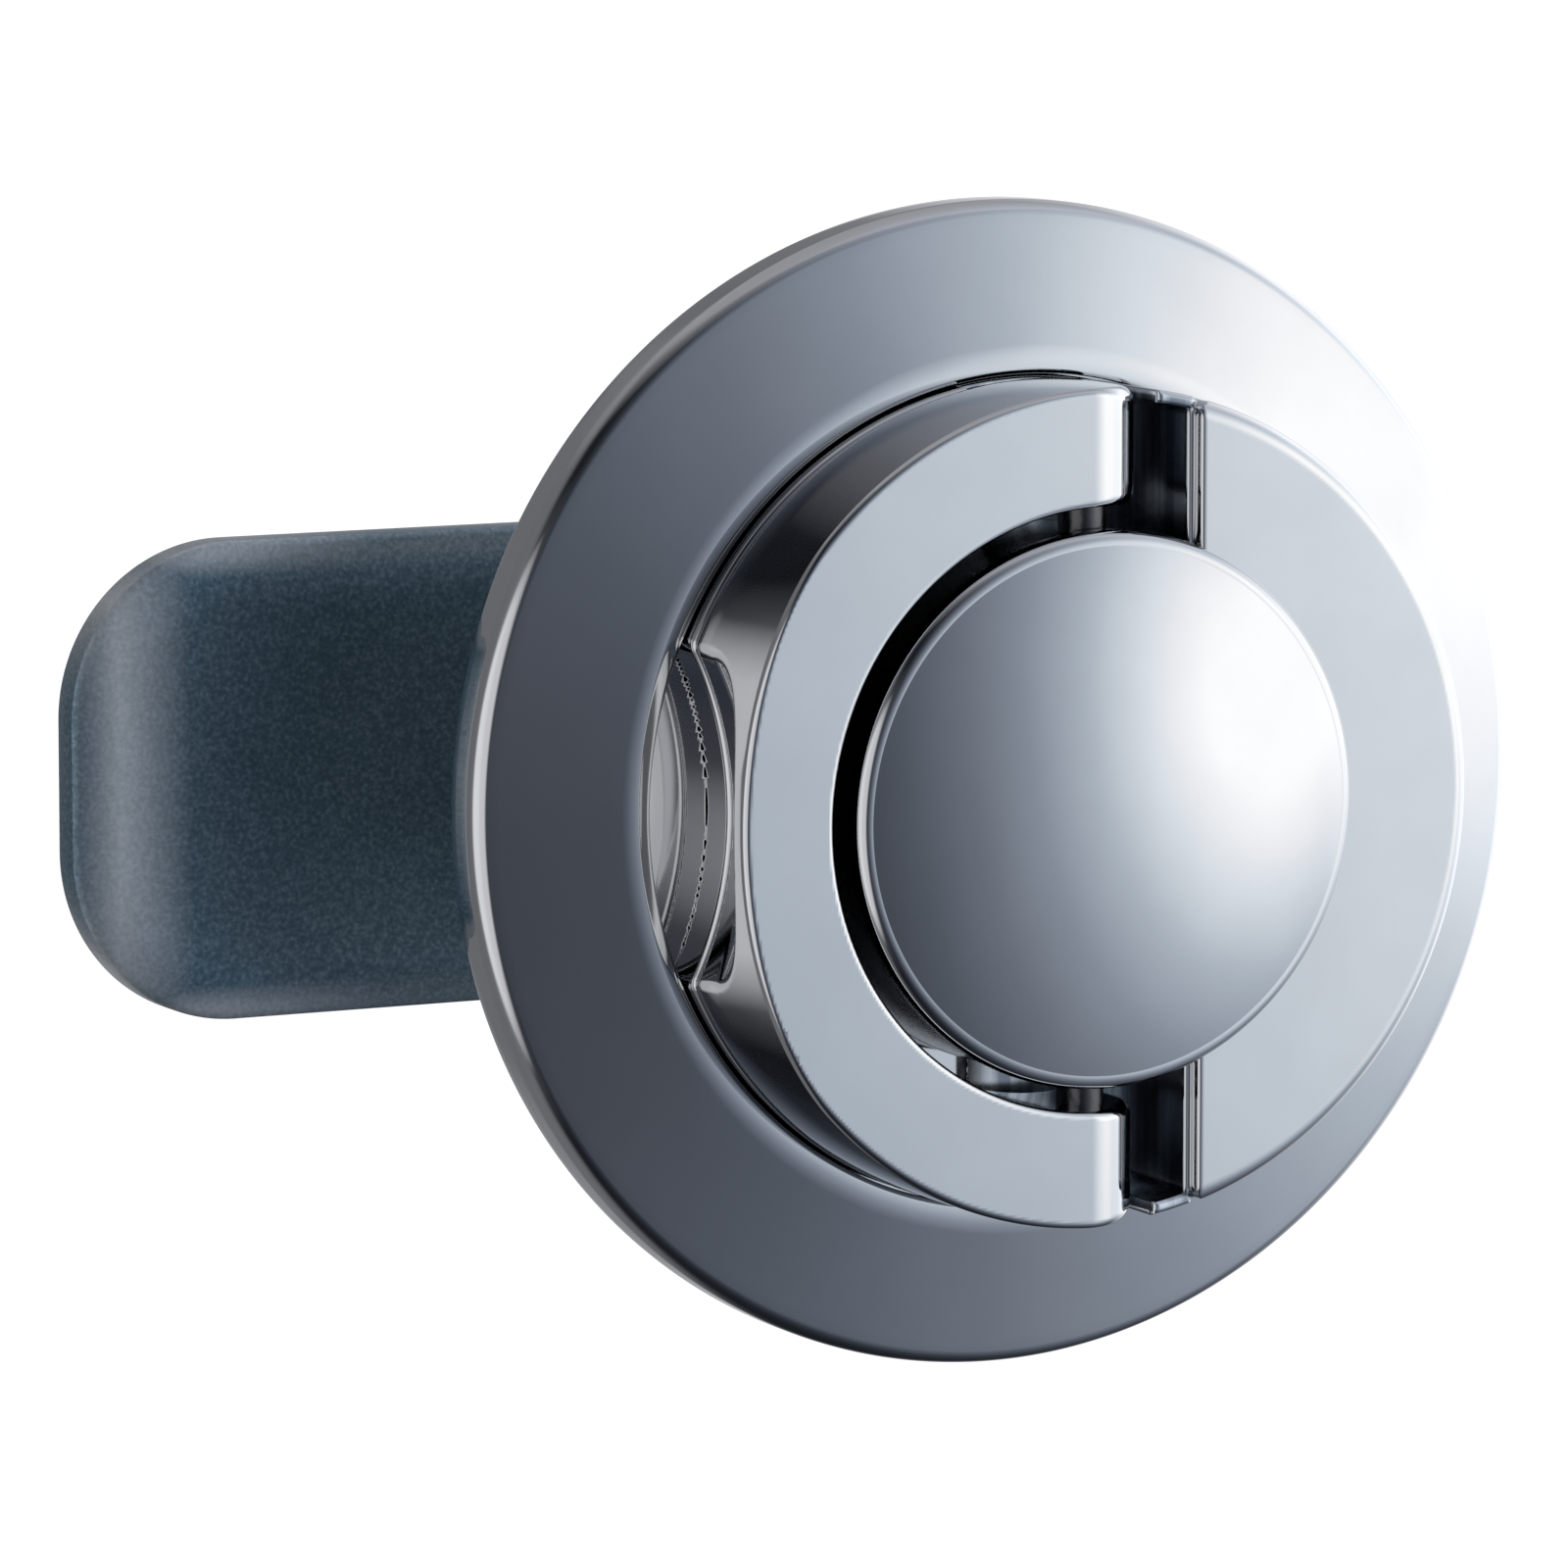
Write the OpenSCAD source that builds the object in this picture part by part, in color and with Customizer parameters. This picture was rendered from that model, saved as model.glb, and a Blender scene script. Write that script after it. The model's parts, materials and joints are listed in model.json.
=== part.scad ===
// Electrical cabinet lock: round flush bezel, quarter-turn hub with a folding half-ring handle,
// threaded barrel, clamp nut and a flat locking tongue behind the panel.
// Millimetres, +Z up. The front looks along -Y, the panel plane is Y = 0, the turning axis is Y.

/* [Bezel] */
// Outside diameter of the flange
flange_d = 60; // [58:0.5:66]
// Height of the flange rim over the panel
rim_h = 2.9; // [2.6:0.1:3.2]
// Radius on the outer edge of the rim
rim_round = 1.1; // [0.8:0.1:1.2]
// Height of the crest around the cup
crest_h = 5.2; // [5.0:0.1:5.4]
// Radius of the roll from the cone to the crest
crest_round = 4; // [3:0.1:4.5]
// Radius on the inner edge of the crest
crest_edge = 0.1; // [0.05:0.05:0.2]
// Height of the cup floor over the panel
cup_floor_h = 1.5; // [1.2:0.1:1.6]

/* [Turning hub] */
// Outside diameter of the hub and of the half rings
ring_d = 42.5; // [41.5:0.25:43]
// Inside diameter of the folding half ring
ring_in_d = 30.6; // [30.2:0.1:31.4]
// Height of the ring face over the panel
ring_h = 13.6; // [13.2:0.1:14.4]
// Height of the handle's seat on the hub
seat_h = 6; // [5.8:0.1:6.1]
// Height of the slot floor over the panel
slot_floor_h = 4.9; // [4.6:0.1:5.0]
// Sideways start of the slot, right of the centre line
slot_x = 2.9; // [2.7:0.1:3.0]
// Width of the slot between folding and fixed half
slot_w = 2.1; // [2.0:0.1:2.6]
// Width of the ledge along the slot on the fixed half
ledge_w = 0.35; // [0.25:0.05:0.6]
// Radius on the slot edge of the fixed half
fixed_edge = 0.25; // [0.15:0.05:0.4]
// Radius on the rims of both half rings
ring_edge = 0.35; // [0.2:0.05:0.5]

/* [Dome cap] */
// Gap between the dome and the folding half ring
dome_gap = 1.15; // [1.0:0.05:1.4]
// Rise of the dome over its rim
dome_rise = 2.4; // [2.0:0.05:3.2]
// Height of the dome rim over the ring face
dome_step = 0.4; // [0.3:0.05:0.6]

/* [Folding handle] */
// Radius on the slot edge of the handle
handle_edge = 3.6; // [2.8:0.1:4.0]
// Metal left over the ceiling of the finger scoop
scoop_lip = 0.85; // [0.8:0.05:1.2]
// Radius of the finger scoop seen from the front
scoop_r = 18.7; // [18:0.1:20]
// Depth of the finger scoop behind the ring's outside
scoop_depth = 3.83; // [3.6:0.01:4]
// Radius between the scoop's wall and its ceiling
scoop_round = 4.75; // [4.5:0.05:5]
// Floor of the finger pocket in the hub
pocket_h = 3.5; // [3.3:0.1:3.7]
// Depth of the flattening on the outside of the handle
flat_cut = 1.15; // [0.6:0.05:1.3]
// Lean of the flattening
flat_tilt = 7; // [6:0.5:8]

/* [Hinge] */
// Diameter of the hinge pins
pin_d = 2.4; // [2.0:0.1:2.6]
// Hinge axis, sideways from the centre line
pin_x = -0.3; // [-0.6:0.1:-0.2]
// Hinge axis below the ring face
pin_drop = 2.2; // [2.0:0.1:2.4]
// Wire diameter of the return springs
spring_wire = 0.6; // [0.4:0.05:0.7]
// Number of turns of the return springs
spring_turns = 5; // [3:1:5]

/* [Barrel and nut] */
// Thread diameter of the barrel
barrel_d = 22; // [21.6:0.1:22.4]
// Width over the two flats of the barrel
barrel_flats = 20; // [19.6:0.1:20.6]
// Thickness of the panel that is clamped
panel_t = 2; // [1:0.1:3]
// Width over the flats of the clamp nut
nut_af = 27; // [26:0.5:30]
// Height of the clamp nut
nut_h = 6; // [4.5:0.5:6]

/* [Spindle and tongue] */
// Distance from the panel plane to the tongue
tongue_set = 16.5; // [16.2:0.1:20]
// Width of the tongue
tongue_w = 24.8; // [22:0.2:28]
// Thickness of the tongue
tongue_t = 2.5; // [2:0.1:3]
// Reach of the tongue from the turning axis
tongue_reach = 43.3; // [36:0.5:50]
// Corner radius of the tongue
tongue_corner = 9; // [6:0.5:10]
// Width of the rolled border of the tongue
tongue_border = 3.5; // [2.5:0.1:4]
// Width over the flats of the spindle square
square_af = 8; // [7.4:0.1:8.4]
// Thread diameter of the tongue screw
screw_d = 6; // [5:0.5:6]

/* [Fits] */
// Radial running clearance of the hub in the cup
cup_clear = 0.08; // [0.06:0.01:0.1]
// Gap between the folded handle and its seat
handle_gap = 0.3; // [0.3:0.05:0.45]
// Radial running clearance of the hub neck and spindle
run_clear = 0.05; // [0.03:0.01:0.08]
// Radial running clearance of the hinge pins
pin_clear = 0.03; // [0.02:0.01:0.05]
// Axial play between fixed and turning pieces
end_play = 0.35; // [0.3:0.05:0.4]

/* [Hidden] */
$fn = 96;
skin = 0.01;
flange_r = flange_d / 2;
ring_r = ring_d / 2;
ring_in_r = ring_in_d / 2;
cup_r = ring_r + cup_clear;
crest_r = cup_r + crest_edge;
crest_z = crest_h - crest_round;
rim_r = flange_r - rim_round;
rim_z = rim_h - rim_round;
// The cone touches the round of the rim and the roll of the crest
cone_len = norm([rim_r - crest_r, crest_z - rim_z]);
cone_tilt = atan2(crest_z - rim_z, rim_r - crest_r) + asin((crest_round - rim_round) / cone_len);
cone_low_r = rim_r + rim_round * sin(cone_tilt);
cone_low_z = rim_z + rim_round * cos(cone_tilt);
cone_top_r = crest_r + crest_round * sin(cone_tilt);
cone_top_z = crest_z + crest_round * cos(cone_tilt);
// Panel seal
seal_in_r = 24.6;
seal_out_r = 27.2;
seal_t = 1.2;
// Hub
glide_t = 0.4;
glide_in_r = 10.5;
glide_out_r = 19.5;
hub_z = cup_floor_h + glide_t + end_play;
dome_r = ring_in_r - dome_gap;
cap_sink = 0.7;
cap_seat_z = ring_h - cap_sink;
dome_rim_z = ring_h + dome_step;
cap_over = 0.25;
boss_r = dome_r - cap_over;
dome_round = 0.75;
dome_rim_r = dome_r - dome_round;
dome_sphere_r = (dome_rim_r * dome_rim_r + dome_rise * dome_rise) / (2 * dome_rise);
dome_hollow_h = 1.2;
plug_out_r = 12.4;
plug_in_r = 11.6;
plug_t = 1.2;
plug_play = 0.2;
notch_clear = 0.4;
fixed_x = slot_x + slot_w;
// Hinge
pin_r = pin_d / 2;
pin_z = ring_h - pin_drop;
pin_in = 5;
pin_cover = 1.7;
pin_out = ring_r - pin_cover;
handle_z = seat_h + handle_gap;
handle_t = ring_h - handle_z;
seat_edge = 0.2;
seat_back = 3.5;
seat_x = pin_x - seat_back;
// Thin walls that close the slot at the ring's outside, as high as the ledge along it
end_wall_t = 0.7;
end_wall_drop = 0.8;
end_wall_gap = 0.35;
end_wall_edge = 0.2;
// Spring chambers in the hub, open to the front under the cap
coil_clear = 0.35;
coil_r = pin_r + coil_clear + spring_wire / 2;
chamber_in = 5.4;
chamber_out = 10.4;
chamber_clear = 0.3;
chamber_r = coil_r + spring_wire / 2 + chamber_clear;
chamber_z = pin_z - chamber_r;
// The outside of the handle is flattened to a wide arc around the finger scoop
flat_r = 29;
flat_x = flat_cut - ring_r + flat_r;
// Finger scoop: a round pocket with an upright wall that rolls over into its ceiling
scoop_x = scoop_depth - ring_r - scoop_r;
scoop_z = ring_h - scoop_lip - scoop_round;
// Barrel, counted as heights below the panel plane
stop_t = 1.5;
stop_gap = 0.4;
barrel_r = barrel_d / 2;
barrel_len = tongue_set - stop_t - stop_gap;
neck_r = 8;
journal_len = 5.6;
neck_len = barrel_len - journal_len;
journal_r = 6.5;
thrust_t = 0.5;
ring_clip_t = 1;
recess_len = 2.6;
shoulder_len = barrel_len - recess_len;
recess_r = 9;
clip_groove_r = 5.6;
tenon_af = 7;
tenon_top_z = 3.2;
o_ring_r = 0.55;
o_groove_z = -4.8;
o_squeeze = 0.02;
o_play = 0.1;
o_groove_r = neck_r + run_clear - o_squeeze - 2 * o_ring_r;
// Quarter-turn stop
stop_r = 8.2;
tab_r = 10.4;
tab_deg = 24;
lug_clear = 0.4;
lug_in_r = stop_r + lug_clear;
lug_deg = 18;
lug_gap_deg = 2.5;
lug_len = 1.2;
turn_deg = 90;
tab_at = 180;
// Screws
hub_screw_r = 2.5;
hub_head_r = 4.4;
hub_head_t = 3;
hub_seat_z = slot_floor_h;
hub_head_clear = 0.5;
hub_hex_af = hub_screw_r * 1.6;
hub_hex_t = 2;
thread_stop = 2;
screw_r = screw_d / 2;
screw_head_af = screw_d * 10 / 6;
screw_head_t = screw_d * 4 / 6;
cam_washer_r = screw_r * 2.1;
cam_washer_t = 1.2;
lock_washer_r = screw_r * 1.9;
lock_washer_t = 1.5;
tongue_back = tongue_set + tongue_t;
square_short = 0.2;
roll_r = 12;
clip_clear = 0.6;
thrust_clear = 0.4;
clip_gap_deg = 40;
lock_gap_deg = 12;
screw_len = 8;
nut_washer_t = 1;
nut_washer_r = nut_af / 2 + 1;

// Frame: x right, y up, z to the front becomes the object's frame
module place() {
    rotate([90, 0, 0]) children();
}

// Plain helpers
module tube(out_r, in_r, z0, z1) {
    translate([0, 0, z0]) difference() {
        cylinder(r = out_r, h = z1 - z0);
        translate([0, 0, -1]) cylinder(r = in_r, h = z1 - z0 + 2);
    }
}

module square_bar(af, z0, z1) {
    translate([-af / 2, -af / 2, z0]) cube([af, af, z1 - z0]);
}

module hex_bar(af, z0, z1) {
    translate([0, 0, z0]) cylinder(r = af / 2 / cos(30), h = z1 - z0, $fn = 6);
}

module sector(r, from_deg, to_deg, z0, z1) {
    translate([0, 0, z0]) rotate([0, 0, from_deg])
        rotate_extrude(angle = to_deg - from_deg) square([r, z1 - z0]);
}

// A rectangle in radius and height with its four corners rounded
module rounded_section(r0, r1, z0, z1, low, high) {
    translate([r0 + low, z0]) square([r1 - r0 - 2 * low, low + skin]);
    translate([r0, z0 + low]) square([r1 - r0, z1 - z0 - low - high]);
    translate([r0 + high, z1 - high - skin]) square([r1 - r0 - 2 * high, high + skin]);
    translate([r0 + low, z0 + low]) circle(r = low);
    translate([r1 - low, z0 + low]) circle(r = low);
    translate([r0 + high, z1 - high]) circle(r = high);
    translate([r1 - high, z1 - high]) circle(r = high);
}

// The same for a solid disc, rounded at its outside only
module disc_section(r1, z0, z1, low, high) {
    square_r = r1 - max(low, high);
    translate([0, z0]) square([square_r, z1 - z0]);
    translate([0, z0 + low]) square([r1, z1 - z0 - low - high]);
    translate([r1 - low, z0 + low]) circle(r = low);
    translate([r1 - high, z1 - high]) circle(r = high);
}

// Bezel, cup and barrel
module crest_roll() {
    intersection() {
        translate([crest_r, crest_z]) circle(r = crest_round);
        polygon([[crest_r, crest_z], [cone_top_r, cone_top_z], [cone_top_r, crest_h + 1],
                 [crest_r, crest_h + 1]]);
    }
}

module bezel_section() {
    difference() {
        union() {
            square([flange_r, rim_z]);
            translate([rim_r, rim_z]) circle(r = rim_round);
            polygon([[0, 0], [rim_r, 0], [rim_r, rim_z], [cone_low_r, cone_low_z],
                     [cone_top_r, cone_top_z], [crest_r, crest_z], [0, crest_z]]);
            crest_roll();
            translate([cup_r, 0]) square([crest_edge + skin, crest_h - crest_edge]);
            translate([crest_r, crest_h - crest_edge]) circle(r = crest_edge);
        }
        translate([seal_in_r, -1]) square([seal_out_r - seal_in_r, 1 + seal_t]);
        translate([-1, cup_floor_h]) square([cup_r + 1, crest_h]);
    }
}

// The end of the barrel is cut back to two lugs, which stop the tab of the stop washer
module between_lugs(from_deg, to_deg) {
    sector(barrel_r + 1, from_deg, to_deg, -barrel_len - lug_len - 1, -barrel_len);
}

module barrel_body() {
    lug_close = tab_at + tab_deg / 2 + lug_gap_deg;
    lug_open = tab_at - turn_deg - tab_deg / 2 - lug_gap_deg;
    difference() {
        intersection() {
            translate([0, 0, -barrel_len - lug_len])
                cylinder(r = barrel_r, h = barrel_len + lug_len + cup_floor_h / 2);
            translate([-barrel_d, -barrel_flats / 2, -2 * barrel_len])
                cube([2 * barrel_d, barrel_flats, 3 * barrel_len]);
        }
        between_lugs(lug_open, lug_close);
        between_lugs(lug_close + lug_deg, lug_open - lug_deg + 360);
        translate([0, 0, -barrel_len - lug_len - 1]) cylinder(r = lug_in_r, h = lug_len + 1);
    }
}

module bezel_housing() {
    color("silver") place() difference() {
        union() {
            rotate_extrude() bezel_section();
            barrel_body();
        }
        translate([0, 0, -neck_len - end_play])
            cylinder(r = neck_r + run_clear, h = neck_len + end_play + 2 * cup_floor_h);
        translate([0, 0, -barrel_len - 1]) cylinder(r = journal_r + run_clear, h = barrel_len + 1);
        translate([0, 0, -barrel_len - 1]) cylinder(r = recess_r, h = barrel_len - shoulder_len + 1);
    }
}

module panel_seal() {
    color("dimgray") place() tube(seal_out_r, seal_in_r, 0, seal_t);
}

module nut_washer() {
    color("lightgray") place() tube(nut_washer_r, barrel_r, -panel_t - nut_washer_t, -panel_t);
}

module mounting_nut() {
    color("lightgray") place() difference() {
        intersection() {
            hex_bar(nut_af, -panel_t - nut_washer_t - nut_h, -panel_t - nut_washer_t);
            translate([0, 0, -panel_t - nut_washer_t - nut_h])
                cylinder(r1 = nut_af / 2, r2 = nut_af, h = nut_h);
        }
        translate([0, 0, -panel_t - nut_washer_t - nut_h - 1]) cylinder(r = barrel_r, h = nut_h + 2);
    }
}

module glide_ring() {
    color("white") place() tube(glide_out_r, glide_in_r, cup_floor_h, cup_floor_h + glide_t);
}

// Turning hub with the fixed half ring
module fixed_half_section() {
    low_z = slot_floor_h - 1;
    ledge_z = ring_h - end_wall_drop;
    face_x = fixed_x + ledge_w;
    translate([fixed_x, low_z]) square([ring_r, ledge_z - low_z - end_wall_edge]);
    translate([fixed_x + end_wall_edge, low_z]) square([ring_r, ledge_z - low_z]);
    translate([fixed_x + end_wall_edge, ledge_z - end_wall_edge]) circle(r = end_wall_edge);
    translate([face_x, low_z]) square([ring_r, ring_h - low_z - fixed_edge]);
    translate([face_x + fixed_edge, low_z]) square([ring_r, ring_h - low_z]);
    translate([face_x + fixed_edge, ring_h - fixed_edge]) circle(r = fixed_edge);
}

module fixed_half() {
    intersection() {
        rotate_extrude() disc_section(ring_r, slot_floor_h - 1, ring_h, ring_edge, ring_edge);
        translate([0, ring_r, 0]) rotate([90, 0, 0]) linear_extrude(2 * ring_r) fixed_half_section();
    }
}

// The slot is closed at the ring's outside by a thin wall at each end
module slot_end_walls() {
    intersection() {
        rotate_extrude() rounded_section(ring_r - end_wall_t, ring_r, slot_floor_h - 1,
                                         ring_h - end_wall_drop, end_wall_edge, end_wall_edge);
        translate([slot_x + end_wall_gap, -ring_r, 0]) cube([slot_w, ring_d, ring_h]);
    }
}

module spring_chamber() {
    translate([pin_x - chamber_r, chamber_in, chamber_z])
        cube([2 * chamber_r, chamber_out - chamber_in, cap_seat_z - chamber_z + 1]);
}

// Base disc, raised on the left as the handle's seat, with the finger pocket in its edge
module hub_base() {
    difference() {
        rotate_extrude() disc_section(ring_r, hub_z, seat_h, seat_edge, seat_edge);
        translate([seat_x, -ring_r, slot_floor_h]) cube([2 * ring_r, ring_d, ring_h]);
        translate([scoop_x, 0, pocket_h]) cylinder(r = scoop_r, h = ring_h);
    }
}

module turn_hub() {
    color("silver") place() difference() {
        union() {
            hub_base();
            translate([0, 0, slot_floor_h - 1]) cylinder(r = boss_r, h = cap_seat_z - slot_floor_h + 1);
            fixed_half();
            slot_end_walls();
            translate([0, 0, -neck_len]) cylinder(r = neck_r, h = neck_len + hub_z + 1);
        }
        translate([0, 0, cap_seat_z]) cylinder(r = dome_r, h = ring_h);
        tube(plug_out_r, plug_in_r, cap_seat_z - plug_t, cap_seat_z + 1);
        translate([0, 0, hub_seat_z]) cylinder(r = hub_head_r + hub_head_clear, h = ring_h);
        cylinder(r = hub_screw_r, h = ring_h);
        square_bar(tenon_af, -neck_len - 1, tenon_top_z);
        spring_chamber();
        mirror([0, 1, 0]) spring_chamber();
        translate([pin_x, ring_r, pin_z]) rotate([90, 0, 0]) cylinder(r = pin_r + pin_clear, h = ring_d);
        tube(neck_r + 1, o_groove_r, o_groove_z - o_ring_r - o_play, o_groove_z + o_ring_r + o_play);
    }
}

// The dome's ring plug leaves the hinge pins and springs free
module pin_notch() {
    notch_r = chamber_r + notch_clear;
    translate([pin_x - notch_r, -ring_r, 0]) cube([2 * notch_r, ring_d, cap_seat_z]);
}

module dome_cap() {
    color("silver") place() difference() {
        union() {
            translate([0, 0, cap_seat_z]) cylinder(r = dome_r, h = dome_rim_z - dome_round - cap_seat_z);
            rotate_extrude() translate([dome_rim_r, dome_rim_z - dome_round]) circle(r = dome_round);
            translate([0, 0, cap_seat_z]) cylinder(r = dome_rim_r, h = dome_rim_z - cap_seat_z);
            intersection() {
                translate([0, 0, dome_rim_z + dome_rise - dome_sphere_r]) sphere(r = dome_sphere_r);
                translate([0, 0, dome_rim_z - skin]) cylinder(r = dome_rim_r, h = 2 * dome_rise);
            }
            tube(plug_out_r, plug_in_r, cap_seat_z - plug_t + plug_play, cap_seat_z + skin);
        }
        translate([0, 0, cap_seat_z - plug_t]) cylinder(r = plug_in_r - plug_t, h = plug_t + dome_hollow_h);
        pin_notch();
    }
}

module hub_screw() {
    color("lightgray") place() difference() {
        union() {
            translate([0, 0, hub_seat_z]) cylinder(r = hub_head_r, h = hub_head_t);
            translate([0, 0, -neck_len + thread_stop])
                cylinder(r = hub_screw_r, h = neck_len - thread_stop + hub_seat_z);
        }
        hex_bar(hub_hex_af, hub_seat_z + hub_head_t - hub_hex_t, hub_seat_z + 2 * hub_head_t);
    }
}

// Folding half ring with its finger scoop and hinge bores
module handle_side_section() {
    translate([-2 * ring_r, handle_z]) square([2 * ring_r + slot_x - handle_edge, handle_t]);
    translate([-ring_r, handle_z]) square([ring_r + slot_x, handle_t - handle_edge]);
    translate([slot_x - handle_edge, ring_h - handle_edge]) circle(r = handle_edge);
}

// The scoop as it is cut out of the handle
module finger_scoop() {
    translate([scoop_x, 0, 0]) rotate_extrude() {
        square([scoop_r, scoop_z]);
        square([scoop_r - scoop_round, scoop_z + scoop_round]);
        translate([scoop_r - scoop_round, scoop_z]) circle(r = scoop_round);
    }
}

module ring_handle() {
    color("silver") place() difference() {
        intersection() {
            rotate_extrude() rounded_section(ring_in_r, ring_r, handle_z, ring_h, ring_edge, ring_edge);
            translate([0, ring_r, 0]) rotate([90, 0, 0]) linear_extrude(2 * ring_r) handle_side_section();
            translate([flat_x, 0, ring_h]) rotate([0, flat_tilt, 0])
                translate([0, 0, -2 * ring_h]) cylinder(r = flat_r, h = 4 * ring_h);
        }
        finger_scoop();
        translate([pin_x, pin_out, pin_z]) rotate([90, 0, 0]) cylinder(r = pin_r, h = 2 * pin_out);
    }
}

module hinge_pin() {
    translate([pin_x, pin_out, pin_z]) rotate([90, 0, 0]) cylinder(r = pin_r, h = pin_out - pin_in);
}

module hinge_pin_upper() {
    color("lightgray") place() hinge_pin();
}

module hinge_pin_lower() {
    color("lightgray") place() mirror([0, 1, 0]) hinge_pin();
}

// Return spring: close-wound turns side by side with a straight leg on the chamber floor
module return_spring() {
    coil_pitch = spring_wire * 0.92;
    leg_d = spring_wire * 0.8;
    leg_len = chamber_r - chamber_clear / 3;
    translate([pin_x, chamber_in + chamber_clear + spring_wire / 2, pin_z]) rotate([-90, 0, 0]) {
        rotate_extrude() for (turn = [0 : spring_turns - 1])
            translate([coil_r, turn * coil_pitch]) circle(d = spring_wire);
        translate([-coil_r, 0, 0]) rotate([-90, 0, 0]) cylinder(d = leg_d, h = leg_len);
    }
}

module handle_spring_upper() {
    color("gray") place() return_spring();
}

module handle_spring_lower() {
    color("gray") place() mirror([0, 1, 0]) return_spring();
}

module shaft_o_ring() {
    color("black") place() translate([0, 0, o_groove_z])
        rotate_extrude() translate([o_groove_r + o_ring_r, 0]) circle(r = o_ring_r);
}

// Spindle: square tenon in the hub, round journal in the barrel, square end for the tongue
module spindle() {
    color("lightgray") place() difference() {
        union() {
            square_bar(tenon_af, -neck_len - skin, tenon_top_z);
            translate([0, 0, -tongue_set + stop_t])
                cylinder(r = journal_r, h = tongue_set - stop_t - neck_len);
            square_bar(square_af, -tongue_back + square_short, -tongue_set + stop_t + skin);
        }
        tube(journal_r + 1, clip_groove_r, -shoulder_len - end_play - thrust_t - ring_clip_t,
             -shoulder_len - end_play - thrust_t);
        translate([0, 0, -neck_len + thread_stop]) cylinder(r = hub_screw_r, h = neck_len + tenon_top_z);
        translate([0, 0, -tongue_back - 1]) cylinder(r = screw_r, h = screw_len + 1);
    }
}

module thrust_washer() {
    z1 = -shoulder_len - end_play;
    color("white") place() tube(recess_r - thrust_clear, journal_r, z1 - thrust_t, z1);
}

module retaining_ring() {
    z0 = -shoulder_len - end_play - thrust_t - ring_clip_t;
    color("dimgray") place() difference() {
        tube(recess_r - clip_clear, clip_groove_r, z0, z0 + ring_clip_t);
        sector(recess_r + 1, -clip_gap_deg / 2, clip_gap_deg / 2, z0 - 1, z0 + ring_clip_t + 1);
    }
}

module stop_washer() {
    color("lightgray") place() difference() {
        union() {
            translate([0, 0, -tongue_set]) cylinder(r = stop_r, h = stop_t);
            sector(tab_r, tab_at - tab_deg / 2, tab_at + tab_deg / 2, -tongue_set, -tongue_set + stop_t);
        }
        square_bar(square_af, -tongue_set - 1, 0);
    }
}

// Locking tongue: flat bar whose front border is rolled over towards its edges
module rolled_section(half) {
    flat = half - tongue_border;
    intersection() {
        square([half, tongue_t]);
        union() {
            square([flat, tongue_t]);
            translate([flat, tongue_t - roll_r]) circle(r = roll_r);
        }
    }
}

module rolled_disc(radius) {
    rotate_extrude() rolled_section(radius);
}

module rolled_bar(length, half) {
    rotate([90, 0, 90]) linear_extrude(length) {
        rolled_section(half);
        mirror([1, 0]) rolled_section(half);
    }
}

module cam_tongue() {
    half_w = tongue_w / 2;
    corner_x = -tongue_reach + tongue_corner;
    corner_y = half_w - tongue_corner;
    color("slategray") place() translate([0, 0, -tongue_back]) difference() {
        union() {
            rolled_disc(half_w);
            translate([corner_x, 0, 0]) rolled_bar(-corner_x, half_w);
            translate([corner_x, corner_y, 0]) rolled_disc(tongue_corner);
            translate([corner_x, -corner_y, 0]) rolled_disc(tongue_corner);
            translate([corner_x, corner_y, 0]) rotate([0, 0, -90]) rolled_bar(2 * corner_y, tongue_corner);
        }
        square_bar(square_af, -1, tongue_t + 1);
    }
}

module cam_washer() {
    color("lightgray") place() tube(cam_washer_r, screw_r, -tongue_back - cam_washer_t, -tongue_back);
}

module cam_lock_washer() {
    z1 = -tongue_back - cam_washer_t;
    color("gray") place() difference() {
        tube(lock_washer_r, screw_r, z1 - lock_washer_t, z1);
        sector(lock_washer_r + 1, -lock_gap_deg / 2, lock_gap_deg / 2, z1 - lock_washer_t - 1, z1 + 1);
    }
}

module cam_screw() {
    z1 = -tongue_back - cam_washer_t - lock_washer_t;
    color("lightgray") place() union() {
        intersection() {
            hex_bar(screw_head_af, z1 - screw_head_t, z1);
            translate([0, 0, z1 - screw_head_t])
                cylinder(r1 = screw_head_af / 2, r2 = screw_head_af, h = screw_head_t);
        }
        translate([0, 0, z1 - skin]) cylinder(r = screw_r, h = -z1 - tongue_back + screw_len);
    }
}

bezel_housing();
panel_seal();
nut_washer();
mounting_nut();
glide_ring();
turn_hub();
dome_cap();
hub_screw();
ring_handle();
hinge_pin_upper();
hinge_pin_lower();
handle_spring_upper();
handle_spring_lower();
shaft_o_ring();
spindle();
thrust_washer();
retaining_ring();
stop_washer();
cam_tongue();
cam_washer();
cam_lock_washer();
cam_screw();
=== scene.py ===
import json
import math

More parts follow.
